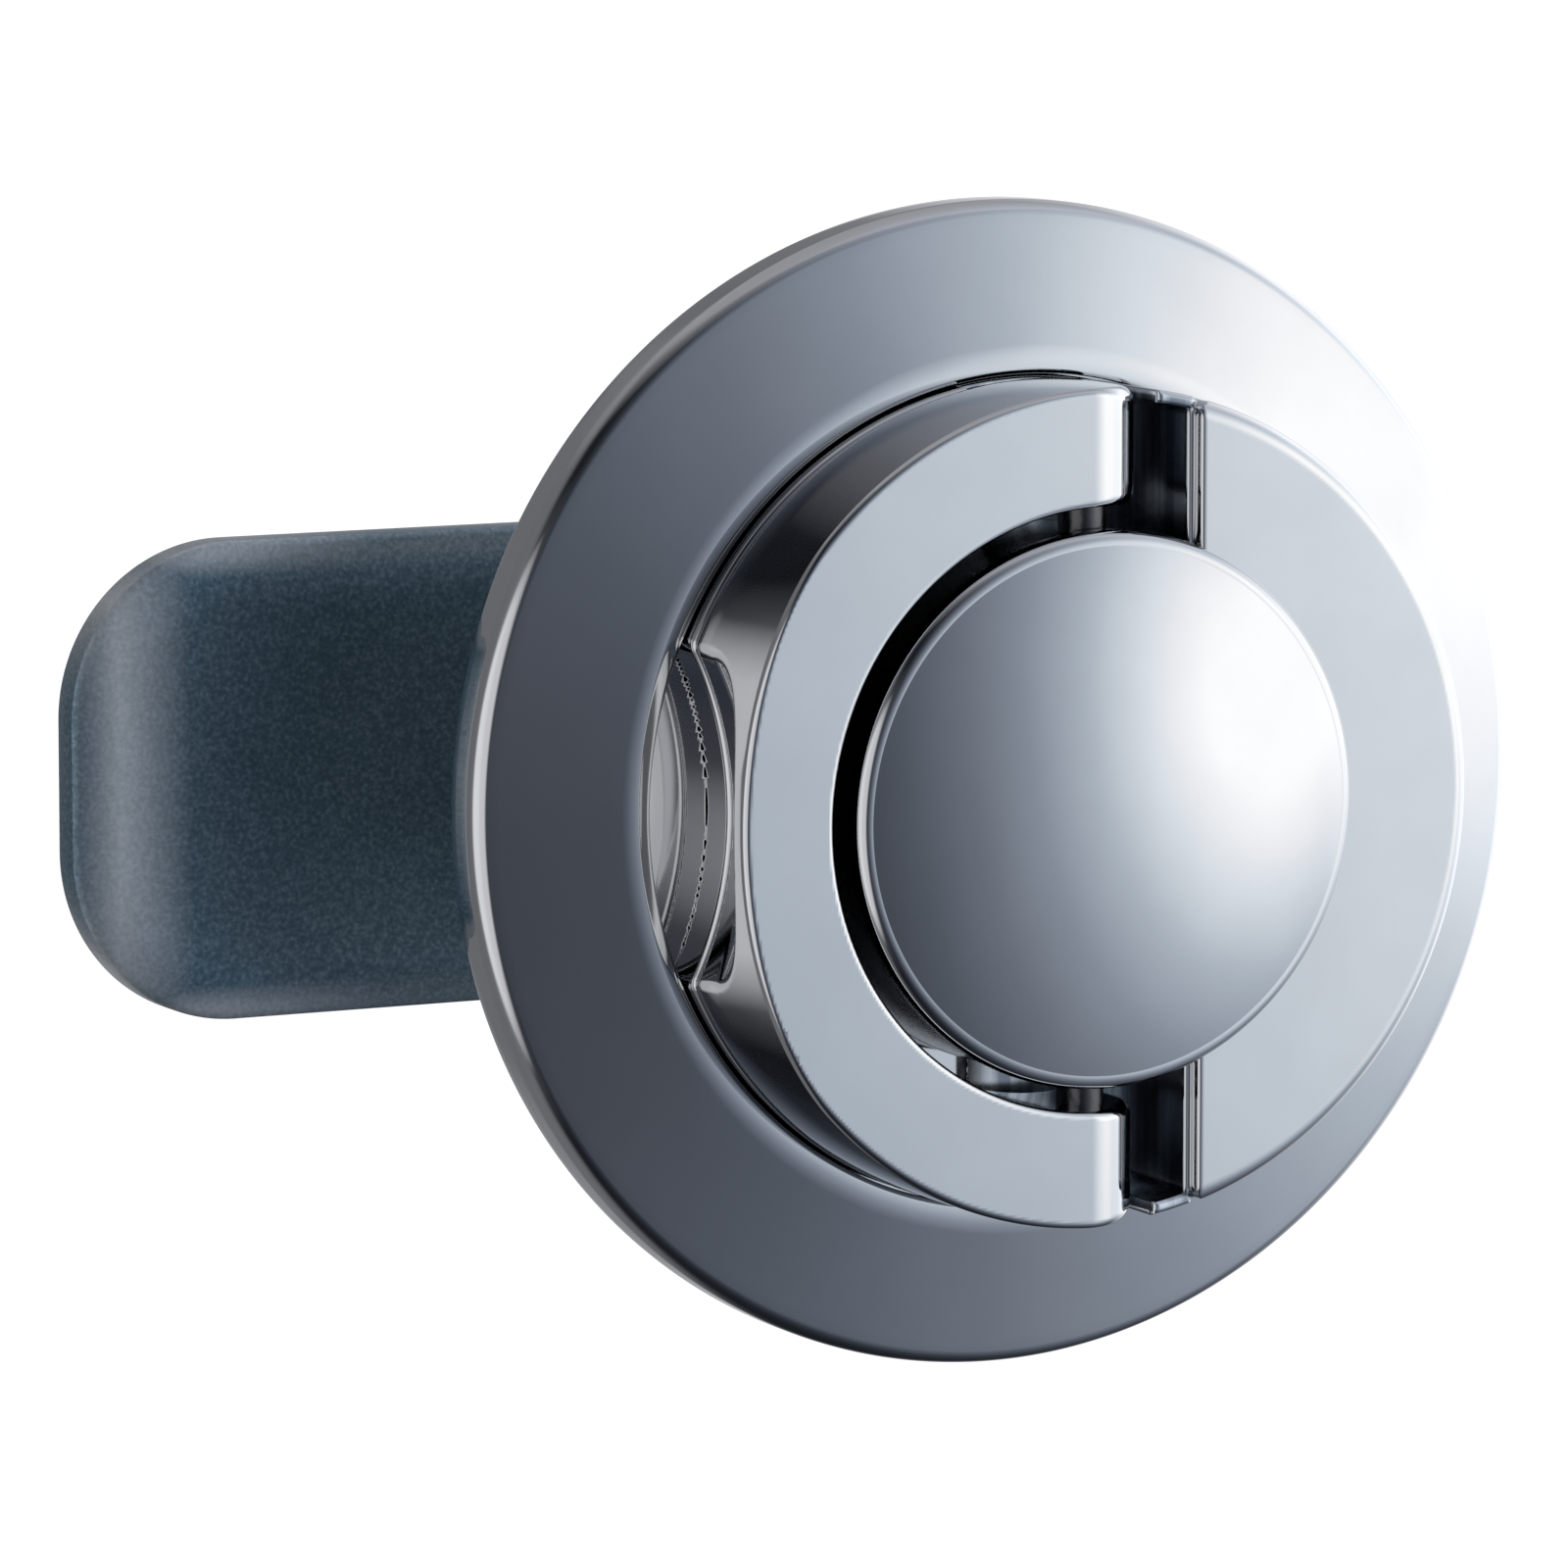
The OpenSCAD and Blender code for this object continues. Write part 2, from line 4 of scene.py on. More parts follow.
import bpy
import numpy as np
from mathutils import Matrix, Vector


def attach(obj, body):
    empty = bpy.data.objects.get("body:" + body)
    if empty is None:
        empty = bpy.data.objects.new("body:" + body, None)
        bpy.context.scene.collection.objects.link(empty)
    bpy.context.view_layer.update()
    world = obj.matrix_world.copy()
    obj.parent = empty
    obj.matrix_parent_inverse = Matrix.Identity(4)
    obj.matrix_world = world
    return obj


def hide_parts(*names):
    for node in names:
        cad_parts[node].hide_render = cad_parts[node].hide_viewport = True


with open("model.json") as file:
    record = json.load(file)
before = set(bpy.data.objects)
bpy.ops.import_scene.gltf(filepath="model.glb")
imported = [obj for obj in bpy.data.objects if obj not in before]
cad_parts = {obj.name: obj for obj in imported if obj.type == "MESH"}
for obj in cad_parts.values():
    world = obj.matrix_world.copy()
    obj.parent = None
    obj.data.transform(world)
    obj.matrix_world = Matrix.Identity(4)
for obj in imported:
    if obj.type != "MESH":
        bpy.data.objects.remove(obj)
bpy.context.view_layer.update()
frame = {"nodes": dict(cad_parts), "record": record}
nodes = frame["nodes"]

MM = 0.001

# Bezel, in millimetres, as in the solids; some edges are broken a little more softly
FLANGE_R = 30.0
RIM_H = 2.9
RIM_ROUND = 1.1
REAR_ROUND = 0.2
CREST_H = 5.2
CREST_ROUND = 4.0
CREST_EDGE = 0.25
CUP_R = 21.33
CUP_FLOOR_H = 1.5
SEAL_IN_R = 24.6
SEAL_OUT_R = 27.2
SEAL_T = 1.2
# Turning hub
RING_R = 21.25
RING_IN_R = 15.3
RING_H = 13.6
RING_EDGE = 0.35
SEAT_H = 6.0
SEAT_X = -3.8
SEAT_EDGE = 0.3
POCKET_H = 3.5
SLOT_FLOOR_H = 4.9
SLOT_X = 2.9
FIXED_X = 5.0
FIXED_EDGE = 0.25
LEDGE_W = 0.35
LEDGE_EDGE = 0.2
FIXED_ROUND = 1.0
END_WALL_T = 0.7
END_WALL_H = 12.8
END_WALL_X = 3.25
END_WALL_LAP = 0.5
WALL_ROOT = 0.8
BASE_IN_R = 13.6
HUB_H = 2.25
BOSS_R = 13.9
BOSS_H = 12.9
NECK_R = 8.0
NECK_LEN = 9.0
FIXED_IN_R = 11.0
# Reach of the painted shade in the hub's recesses: in from the outside wall, on from the seat, and in and
# down on the slot wall
SHADE_FROM = 0.3
SHADE_TO = 0.1
SEAT_SHADE_RUN = 0.2
SLOT_SHADE_IN = (0.06, 0.14)
SLOT_SHADE_DOWN = (0.12, 0.3)
# Dome
DOME_R = 14.15
DOME_RIM_H = 14.0
DOME_RISE = 2.4
DOME_ROUND = 0.75
# Folding handle
HANDLE_H = 6.3
HANDLE_EDGE = 3.6
HANDLE_CORNER = 0.8
FLAT_R = 29.0
FLAT_X = 8.9
FLAT_TILT = math.radians(7)
FLAT_EDGE = 0.8
SCOOP_R = 18.7
SCOOP_X = -36.12
SCOOP_TOP = 12.75
SCOOP_ROUND = 4.75
SCOOP_EDGE = 0.3
# Barrel
BARREL_R = 11.0
BARREL_FLAT = 10.0
BARREL_LEN = 14.6
BORE_R = 8.05
BORE_LEN = 9.35
JOURNAL_R = 6.55
RECESS_R = 9.0
RECESS_FROM = 12.0
THREAD_PITCH = 1.5
THREAD_DEPTH = 0.75
THREAD_START = 0.8
THREAD_RUN_IN = 1.2
THREAD_RUN_OUT = 0.6
BARREL_LAP = 0.5
LUG_IN_R = 8.6
LUG_LEN = 1.2
LUG_INSET = 0.8
LUG_BEVEL = 0.25
LUG_LAP = 0.3
LUGS_DEG = ((194.5, 212.5), (57.5, 75.5))
# Tongue
TONGUE_SET = 16.5
TONGUE_T = 2.5
TONGUE_HALF = 12.4
TONGUE_REACH = 43.3
TONGUE_CORNER = 9.0
TONGUE_BORDER = 3.5
TONGUE_ROLL_R = 12.0
TONGUE_EDGE = 0.3
TONGUE_EDGE_H = 0.2
TONGUE_EDGE_DROP = 0.24
TONGUE_ROLL_END = 0.28
TONGUE_REAR_EDGE = 0.2
TONGUE_REAR_MID = 0.06
# Painted highlight on the tongue's rolled border: its reach from the end, and its start and full tone from
# the sides, and where a painted shadow of the flange dims it
BORDER_REACH = 6.5
BORDER_FROM = 1.9
BORDER_FULL = 0.7
FLANGE_SHADOW_X = (-36, -26)
# Fineness of the meshes
BEZEL_TURNS = 480
BARREL_TURNS = 288
BOSS_TURNS = 240
DOME_TURNS = 320
BASE_STEP = 0.18
FIXED_STEP = 0.14
HANDLE_STEP = 0.16

# Camera
VIEW_AZ = -26.85
VIEW_EL = 7.42
VIEW_DIST = 0.5
VIEW_TARGET = Vector((-0.01127, 0.0, 0.00044))
VIEW_LENS = 225.6
VIEW_SENSOR = 36.0
# Studio
TENT_R = 0.397
TENT_GAIN = 1.49
KEY_AZ = 54.3
KEY_EL = 5.9
REAR_AZ = 153.0
REAR_EL = -7.4
SIDE_AZ = -62.0
SIDE_EL = -5.0
BACK_AZ = 112.0
BACK_EL = 5.0
TOP_AZ = 130.0
TOP_EL = 72.0
FLOOR_Z = -0.45
FLOOR_LIFT = 0.12


def to_world(x, y, h):
    """Right, up and height to the front, in millimetres, to the object's frame in metres."""
    return np.stack([np.asarray(x, float), -np.asarray(h, float), np.asarray(y, float)], axis=-1) * MM


def add_piece(name, points, faces, body, material, replaced=(), normals=None, crease=None):
    mesh = bpy.data.meshes.new(name)
    mesh.from_pydata(points.tolist(), [], [list(f) for f in faces])
    mesh.update()
    mesh.shade_smooth()
    if crease is not None:
        mesh.set_sharp_from_angle(angle=math.radians(crease))
    if normals is not None:
        mesh.normals_split_custom_set_from_vertices(normals.tolist())
    piece = bpy.data.objects.new(name, mesh)
    bpy.context.scene.collection.objects.link(piece)
    mesh.materials.append(material)
    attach(piece, body)
    if replaced:
        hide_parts(*replaced)
    return piece


# Sections and turned shapes

def arc(centre, radius, start, end, count):
    angles = np.radians(np.linspace(start, end, count))
    return [(centre[0] + radius * math.cos(a), centre[1] + radius * math.sin(a)) for a in angles]


def refine(points, longest):
    """The closed section with its long sides divided."""
    out = []
    for i, p in enumerate(points):
        q = points[(i + 1) % len(points)]
        parts = max(1, int(math.ceil(math.dist(p, q) / longest)))
        for k in range(parts):
            out.append((p[0] + (q[0] - p[0]) * k / parts, p[1] + (q[1] - p[1]) * k / parts))
    return out


def turned(section, count):
    """Points and faces of a closed section, radius and height, turned about the axis."""
    section = np.array(section)
    rows = len(section)
    angle = np.linspace(0, 2 * math.pi, count, endpoint=False)
    x = np.outer(section[:, 0], np.cos(angle))
    y = np.outer(section[:, 0], np.sin(angle))
    h = np.repeat(section[:, 1:2], count, axis=1)
    points = to_world(x, y, h).reshape(-1, 3)
    faces = []
    for i in range(rows):
        k = (i + 1) % rows
        on_axis = section[i, 0] < 1e-9
        next_on_axis = section[k, 0] < 1e-9
        if on_axis and next_on_axis:
            continue
        for j in range(count):
            n = (j + 1) % count
            if on_axis:
                faces.append((i * count, k * count + n, k * count + j))
            elif next_on_axis:
                faces.append((i * count + j, i * count + n, k * count))
            else:
                faces.append((i * count + j, i * count + n, k * count + n, k * count + j))
    return drop_unused(points, faces)


def drop_unused(points, faces):
    used = np.zeros(len(points), bool)
    for f in faces:
        used[list(f)] = True
    new = np.cumsum(used) - 1
    return points[used], [tuple(int(new[v]) for v in f) for f in faces]


def joined(*shells):
    points, faces, start = [], [], 0
    for p, f in shells:
        points.append(p)
        faces += [tuple(v + start for v in face) for face in f]
        start += len(p)
    return np.concatenate(points), faces


# Rounded solids from distances: negative inside, edges rounded where two faces meet

def meet(a, b, radius):
    """Both of two solids, with the edge between them rounded."""
    u = np.maximum(a + radius, 0)
    v = np.maximum(b + radius, 0)
    return np.minimum(np.maximum(a, b), -radius) + np.sqrt(u * u + v * v)


def handle_distance(x, y, h):
    r = np.hypot(x, y)
    across = (x - FLAT_X) * math.cos(FLAT_TILT) - (h - RING_H) * math.sin(FLAT_TILT)
    walls = meet(r - RING_R, np.hypot(across, y) - FLAT_R, FLAT_EDGE)
    walls = np.maximum(walls, RING_IN_R - r)
    face = meet(x - SLOT_X, h - RING_H, HANDLE_EDGE)
    end = np.clip((x - SLOT_X + HANDLE_EDGE) / HANDLE_EDGE, 0, 1)
    body = meet(walls, face, RING_EDGE + (HANDLE_CORNER - RING_EDGE) * end)
    body = meet(body, HANDLE_H - h, RING_EDGE)
    scoop = meet(np.hypot(x - SCOOP_X, y) - SCOOP_R, h - SCOOP_TOP, SCOOP_ROUND)
    return meet(body, -scoop, SCOOP_EDGE)


def hub_base_distance(x, y, h):
    r = np.hypot(x, y)
    top = np.minimum(h - SLOT_FLOOR_H, np.maximum(h - SEAT_H, x - SEAT_X))
    body = meet(np.maximum(r - RING_R, BASE_IN_R - r), top, SEAT_EDGE)
    body = meet(body, HUB_H - h, SEAT_EDGE)
    pocket = np.maximum(np.hypot(x - SCOOP_X, y) - SCOOP_R, POCKET_H - h)
    body = meet(body, -pocket, SEAT_EDGE)
    far_x = FIXED_X + END_WALL_LAP
    across = np.abs(x - 0.5 * (END_WALL_X + far_x)) - 0.5 * (far_x - END_WALL_X)
    wall = np.maximum(np.maximum(r - RING_R, RING_R - END_WALL_T - r), across)
    wall = meet(np.maximum(wall, SLOT_FLOOR_H - WALL_ROOT - h), h - END_WALL_H, SEAT_EDGE)
    return np.minimum(body, wall)


def fixed_half_distance(x, y, h):
    r = np.hypot(x, y)
    walls = np.maximum(r - RING_R, FIXED_IN_R - r)
    ledge = meet(FIXED_X - x, h - END_WALL_H, LEDGE_EDGE)
    face = np.minimum(ledge, meet(FIXED_X + LEDGE_W - x, h - RING_H, FIXED_EDGE))
    return np.maximum(meet(walls, face, FIXED_ROUND), SLOT_FLOOR_H - WALL_ROOT - h)


def slope(distance, p, reach=0.01):
    out = np.empty_like(p)
    for k in range(3):
        step = np.zeros(3)
        step[k] = reach
        a, b = p + step, p - step
        out[:, k] = distance(*a.T) - distance(*b.T)
    return out / (2 * reach)


def straight(x, y, h):
    return x, y, h


def bent(r, along, h):
    """Radius and length along the hub's outside, bent to right and up."""
    angle = along / RING_R
    return r * np.cos(angle), r * np.sin(angle), h


def netted(distance, low, high, step, placed=straight):
    """Points, faces and normals of the surface where the distance is zero, netted on the placed grid."""
    axes = [np.arange(low[k] - 1.5 * step, high[k] + 2.5 * step, step) for k in range(3)]
    grid = np.meshgrid(*axes, indexing="ij")

    def field(a, b, c):
        return distance(*placed(a, b, c))

    inside = field(*grid) < 0
    if placed is bent:
        inside &= (grid[1] > low[1]) & (grid[1] < high[1])
    shape = np.array(inside.shape) - 1
    count = np.zeros(shape, np.int8)
    for i in (0, 1):
        for j in (0, 1):
            for k in (0, 1):
                count += inside[i:i + shape[0], j:j + shape[1], k:k + shape[2]]
    active = (count > 0) & (count < 8)
    cell = np.full(shape, -1, np.int64)
    cell[active] = np.arange(active.sum())
    where = np.argwhere(active)
    middle = np.stack([axes[k][where[:, k]] + step / 2 for k in range(3)], axis=1)
    p = middle.copy()
    for _ in range(6):
        g = slope(field, p)
        d = field(*p.T)
        p = p - g * (d / np.maximum((g * g).sum(1), 1e-6))[:, None]
        p = np.clip(p, middle - 0.9 * step, middle + 0.9 * step)
    faces = []
    for axis in range(3):
        u, v = (axis + 1) % 3, (axis + 2) % 3
        here = np.moveaxis(inside, (axis, u, v), (0, 1, 2))
        cells = np.moveaxis(cell, (axis, u, v), (0, 1, 2))
        a = here[:-1, 1:-1, 1:-1]
        b = here[1:, 1:-1, 1:-1]
        for sign, change in ((1, a & ~b), (-1, ~a & b)):
            i, j, k = np.nonzero(change)
            quad = [cells[i, j, k], cells[i, j + 1, k], cells[i, j + 1, k + 1], cells[i, j, k + 1]]
            faces.append(np.stack(quad[::sign], axis=1))
    faces = np.concatenate(faces)
    p = np.stack(placed(*p.T), axis=1)
    normal = slope(distance, p)
    normal /= np.linalg.norm(normal, axis=1)[:, None]
    normal = np.stack([normal[:, 0], -normal[:, 2], normal[:, 1]], axis=1)
    return to_world(p[:, 0], p[:, 1], p[:, 2]), faces.tolist(), normal


# Materials

class Paint:
    """A node material with one surface shader and helpers for its procedural detail."""

    def __init__(self, name, color, metallic, roughness):
        self.material = bpy.data.materials.new(name)
        self.material.use_nodes = True
        self.tree = self.material.node_tree
        self.shader = self.tree.nodes["Principled BSDF"]
        self.shader.inputs["Base Color"].default_value = (*color, 1)
        self.shader.inputs["Metallic"].default_value = metallic
        self.shader.inputs["Roughness"].default_value = roughness
        self.place = self.tree.nodes.new("ShaderNodeTexCoord").outputs["Object"]

    def link(self, out, into):
        self.tree.links.new(out, into)

    def noise(self, scale, detail=3.0, stretch=None):
        node = self.tree.nodes.new("ShaderNodeTexNoise")
        node.inputs["Scale"].default_value = scale
        node.inputs["Detail"].default_value = detail
        source = self.place
        if stretch is not None:
            mapping = self.tree.nodes.new("ShaderNodeMapping")
            mapping.inputs["Scale"].default_value = stretch
            self.link(source, mapping.inputs["Vector"])
            source = mapping.outputs["Vector"]
        self.link(source, node.inputs["Vector"])
        return node.outputs["Fac"]

    def between(self, fac, low, high, start=0.3, end=0.7):
        node = self.tree.nodes.new("ShaderNodeMapRange")
        node.inputs["From Min"].default_value = start
        node.inputs["From Max"].default_value = end
        node.inputs["To Min"].default_value = low
        node.inputs["To Max"].default_value = high
        self.link(fac, node.inputs["Value"])
        return node.outputs["Result"]

    def ramp(self, fac, stops):
        node = self.tree.nodes.new("ShaderNodeValToRGB")
        colors = node.color_ramp
        while len(colors.elements) < len(stops):
            colors.elements.new(0.5)
        for element, (position, color) in zip(colors.elements, stops):
            element.position = position
            element.color = (*color, 1)
        self.link(fac, node.inputs["Fac"])
        return node.outputs["Color"]

    def along(self, axis):
        node = self.tree.nodes.new("ShaderNodeSeparateXYZ")
        self.link(self.place, node.inputs["Vector"])
        return node.outputs[axis]

    def math(self, operation, a, b):
        node = self.tree.nodes.new("ShaderNodeMath")
        node.operation = operation
        for socket, value in zip(node.inputs, (a, b)):
            if isinstance(value, (int, float)):
                socket.default_value = value
            else:
                self.link(value, socket)
        return node.outputs[0]

    def radius(self):
        """Distance from the turning axis."""
        x, z = self.along("X"), self.along("Z")
        square = self.math("ADD", self.math("MULTIPLY", x, x), self.math("MULTIPLY", z, z))
        return self.math("POWER", square, 0.5)

    def mix(self, fac, first, second):
        node = self.tree.nodes.new("ShaderNodeMix")
        node.data_type = "RGBA"
        self.link(fac, node.inputs["Factor"])
        self.link(first, node.inputs["A"])
        self.link(second, node.inputs["B"])
        return node.outputs["Result"]

    def color(self, out):
        self.link(out, self.shader.inputs["Base Color"])

    def roughness(self, out):
        self.link(out, self.shader.inputs["Roughness"])

    def bump(self, height, distance, strength=1.0):
        node = self.tree.nodes.new("ShaderNodeBump")
        node.inputs["Strength"].default_value = strength
        node.inputs["Distance"].default_value = distance
        self.link(height, node.inputs["Height"])
        self.link(node.outputs["Normal"], self.shader.inputs["Normal"])


CHROME = (0.665, 0.67, 0.68)
CHROME_HAZE = ((0.3, (0.65, 0.655, 0.665)), (0.7, (0.68, 0.685, 0.695)))
HAZE_SCALE = 220.0
# Painted shade for the hub's recesses, near black on the boss and greyer in the slots; its vertical streaks
# partly stand in for blurred reflections of the handle's end in the slot
STREAK_SCALE = 900.0
STREAK_STRETCH = (1.0, 1.0, 0.04)
BOSS_PAINTED_SHADE = ((0.015, 0.016, 0.019), (0.06, 0.064, 0.072))
SLOT_PAINTED_SHADE = ((0.24, 0.27, 0.31), (0.76, 0.8, 0.84))
# Tongue: blue zinc on the flat, darkened with painted shade; a painted highlight on the rolled border, and
# its tone by distance from the end
TONGUE_FLAT_SHADED = ((0.34, (0.1, 0.17, 0.22)), (0.52, (0.15, 0.235, 0.3)), (0.7, (0.24, 0.34, 0.41)))
TONGUE_ROLLED_HIGHLIGHT = ((0.34, (0.66, 0.7, 0.72)), (0.66, (0.82, 0.85, 0.87)))
TONGUE_END_HIGHLIGHT = ((0.0, (0.0,) * 3), (0.37, (1.0,) * 3), (0.7, (0.45,) * 3), (1.0, (0.0,) * 3))


def chrome_paint():
    paint = Paint("chrome", CHROME, 1.0, 0.05)
    haze = paint.noise(HAZE_SCALE, 4.0)
    paint.color(paint.ramp(haze, CHROME_HAZE))
    paint.roughness(paint.between(haze, 0.035, 0.065))
    return paint.material


def shaded_recess_paint(name, depth, shade):
    """Chrome with painted shade: dark, streaked and rougher where depth says it lies deep in the hub."""
    paint = Paint(name, CHROME, 1.0, 0.05)
    haze = paint.noise(HAZE_SCALE, 4.0)
    streak = paint.noise(STREAK_SCALE, 3.0, STREAK_STRETCH)
    bright = paint.ramp(haze, CHROME_HAZE)
    shaded = paint.ramp(streak, ((0.4, shade[0]), (0.66, shade[1])))
    deep = depth(paint)
    paint.color(paint.mix(deep, bright, shaded))
    paint.roughness(paint.between(deep, 0.05, 0.2, 0.0, 1.0))
    return paint.material


def deep_all(paint):
    """Painted shade deep all over, a trifle less towards the panel."""
    return paint.between(paint.along("Y"), 1.0, 0.98, -BOSS_H * MM, 0.0)


def deep_inside(paint):
    """Painted shade deep in the slot, inside the hub's outside wall."""
    within = paint.between(paint.radius(), 1.0, 0.0, (RING_R - SHADE_FROM) * MM, (RING_R - SHADE_TO) * MM)
    beside = paint.between(paint.along("X"), 0.0, 1.0, SEAT_X * MM, (SEAT_X + SEAT_SHADE_RUN) * MM)
    return paint.math("MULTIPLY", within, beside)


def deep_in_slot(paint):
    """Painted shade deep on the slot wall of the fixed half ring, below its ledge."""
    side = [(FIXED_X + reach) * MM for reach in SLOT_SHADE_IN]
    down = [(-END_WALL_H + reach) * MM for reach in SLOT_SHADE_DOWN]
    beside = paint.between(paint.along("X"), 1.0, 0.0, *side)
    below = paint.between(paint.along("Y"), 0.0, 1.0, *down)
    return paint.math("MULTIPLY", beside, below)


def zinc_paint(name, dark, light, low, high):
    paint = Paint(name, light, 1.0, low)
    cloud = paint.noise(260.0, 5.0)
    grain = paint.noise(2600.0, 2.0)
    paint.color(paint.ramp(cloud, ((0.3, dark), (0.7, light))))
    paint.roughness(paint.between(cloud, low, high))
    paint.bump(grain, 0.00004, 0.35)
    return paint.material


def tongue_paint():
    """Blue zinc plate, speckled, dark on the flat with painted shade and paler on the rolled border with a
    painted highlight, which a painted shadow of the flange dims.
    """
    paint = Paint("tongue_zinc", (0.29, 0.4, 0.47), 0.6, 0.38)
    speckle = paint.noise(4200.0, 4.0)
    cloud = paint.noise(160.0, 4.0)
    flat = paint.ramp(speckle, TONGUE_FLAT_SHADED)
    rolled = paint.ramp(speckle, TONGUE_ROLLED_HIGHLIGHT)
    x = paint.along("X")
    inset = paint.between(x, 0.0, 1.0, -TONGUE_REACH * MM, (BORDER_REACH - TONGUE_REACH) * MM)
    from_end = paint.ramp(inset, TONGUE_END_HIGHLIGHT)
    across = paint.math("ABSOLUTE", paint.along("Z"), 0.0)
    edge = [(TONGUE_HALF - reach) * MM for reach in (BORDER_FROM, BORDER_FULL)]
    side_highlight = paint.between(across, 0.0, 1.0, *edge)
    # Painted shadow of the flange: the highlight along the sides dims towards it
    fade = paint.between(x, 0.8, 0.2, *(at * MM for at in FLANGE_SHADOW_X))
    side_highlight = paint.math("MULTIPLY", side_highlight, fade)
    paint.color(paint.mix(paint.math("MAXIMUM", from_end, side_highlight), flat, rolled))
    paint.roughness(paint.between(cloud, 0.32, 0.44))
    paint.bump(speckle, 0.00004, 0.3)
    return paint.material


def rubber_paint():
    paint = Paint("rubber", (0.02, 0.02, 0.021), 0.0, 0.75)
    cloud = paint.noise(500.0, 4.0)
    paint.color(paint.ramp(cloud, ((0.3, (0.014, 0.014, 0.015)), (0.7, (0.028, 0.028, 0.03)))))
    paint.roughness(paint.between(cloud, 0.62, 0.82))
    paint.bump(paint.noise(4000.0, 2.0), 0.00005, 0.4)
    return paint.material


def plastic_paint():
    paint = Paint("glide_plastic", (0.8, 0.8, 0.77), 0.0, 0.42)
    cloud = paint.noise(300.0, 3.0)
    paint.color(paint.ramp(cloud, ((0.3, (0.74, 0.74, 0.7)), (0.7, (0.82, 0.82, 0.79)))))
    paint.roughness(paint.between(cloud, 0.36, 0.5))
    return paint.material


# Pieces

def bezel_section():
    rim = (FLANGE_R - RIM_ROUND, RIM_H - RIM_ROUND)
    crest = (CUP_R + CREST_EDGE, CREST_H - CREST_ROUND)
    tilt = math.atan2(crest[1] - rim[1], rim[0] - crest[0])
    tilt += math.asin((CREST_ROUND - RIM_ROUND) / math.dist(rim, crest))
    cone_at = 90 - math.degrees(tilt)
    points = [(BORE_R, 0.0), (SEAL_IN_R, 0.0), (SEAL_IN_R, SEAL_T), (SEAL_OUT_R, SEAL_T), (SEAL_OUT_R, 0.0)]
    points += arc((FLANGE_R - REAR_ROUND, REAR_ROUND), REAR_ROUND, -90, 0, 6)
    points += arc(rim, RIM_ROUND, 0, cone_at, 20)
    points += arc(crest, CREST_ROUND, cone_at, 90, 24)
    points += arc((crest[0], CREST_H - CREST_EDGE), CREST_EDGE, 97, 180, 8)
    points += [(CUP_R, CUP_FLOOR_H), (BORE_R, CUP_FLOOR_H)]
    return refine(points, 0.6)


def make_bezel(chrome):
    points, faces = turned(bezel_section(), BEZEL_TURNS)
    add_piece("bezel", points, faces, "housing", chrome, ("bezel_housing",), crease=30)


def thread_radius(angle, h):
    """Outside of the barrel with its thread, which runs in below the flange and ends in a bevel."""
    turn = (h / THREAD_PITCH + angle / (2 * math.pi)) % 1.0
    cut = np.clip(np.abs(turn - 0.5) * 2.4 - 0.2, 0, 1) * THREAD_DEPTH
    from_end = (h + BARREL_LEN) / THREAD_RUN_OUT
    fade = np.clip((-THREAD_START - h) / THREAD_RUN_IN, 0, 1) * np.clip(from_end, 0, 1)
    end = np.clip(1 - from_end, 0, 1) * THREAD_DEPTH
    return BARREL_R - cut * fade - end


def barrel_shell():
    count = BARREL_TURNS
    angle = np.linspace(0, 2 * math.pi, count, endpoint=False)
    rows_x, rows_y, rows_h = [], [], []

    def row(radius, h):
        rows_x.append(radius * np.cos(angle))
        rows_y.append(radius * np.sin(angle))
        rows_h.append(np.full(count, float(h)))

    flat = BARREL_FLAT / np.maximum(np.abs(np.sin(angle)), 1e-6)
    for h in np.arange(BARREL_LAP, -BARREL_LEN - 1e-6, -THREAD_PITCH / 10):
        row(np.minimum(thread_radius(angle, h), flat), h)
    for radius, h in ((RECESS_R, -BARREL_LEN), (RECESS_R, -RECESS_FROM), (JOURNAL_R, -RECESS_FROM),
                      (JOURNAL_R, -BORE_LEN), (BORE_R, -BORE_LEN), (BORE_R, BARREL_LAP)):
        row(np.full(count, radius), h)
    points = to_world(np.array(rows_x), np.array(rows_y), np.array(rows_h)).reshape(-1, 3)
    faces = []
    rows = len(rows_h)
    for i in range(rows):
        k = (i + 1) % rows
        for j in range(count):
            n = (j + 1) % count
            faces.append((i * count + j, k * count + j, k * count + n, i * count + n))
    return points, faces


def lug_shell(start, end):
    """One stop lug on the end of the barrel, its edges broken."""
    out_r = BARREL_R - LUG_INSET
    section = [(LUG_IN_R, -LUG_LEN + LUG_BEVEL), (LUG_IN_R + LUG_BEVEL, -LUG_LEN),
               (out_r - LUG_BEVEL, -LUG_LEN), (out_r, -LUG_LEN + LUG_BEVEL),
               (out_r, LUG_LAP), (LUG_IN_R, LUG_LAP)]
    angle = np.radians(np.linspace(start, end, 16))
    rows = len(section)
    r = np.array([p[0] for p in section])
    h = np.array([p[1] for p in section]) - BARREL_LEN
    x = np.outer(np.cos(angle), r)
    y = np.outer(np.sin(angle), r)
    points = to_world(x, y, np.repeat(h[None, :], len(angle), axis=0)).reshape(-1, 3)
    faces = []
    for i in range(len(angle) - 1):
        for k in range(rows):
            n = (k + 1) % rows
            faces.append((i * rows + k, i * rows + n, (i + 1) * rows + n, (i + 1) * rows + k))
    faces.append(tuple(range(rows))[::-1])
    faces.append(tuple(range((len(angle) - 1) * rows, len(angle) * rows)))
    return points, faces


def make_barrel(chrome):
    shells = [barrel_shell()] + [lug_shell(*lug) for lug in LUGS_DEG]
    points, faces = joined(*shells)
    add_piece("barrel", points, faces, "housing", chrome, ("bezel_housing",), crease=25)


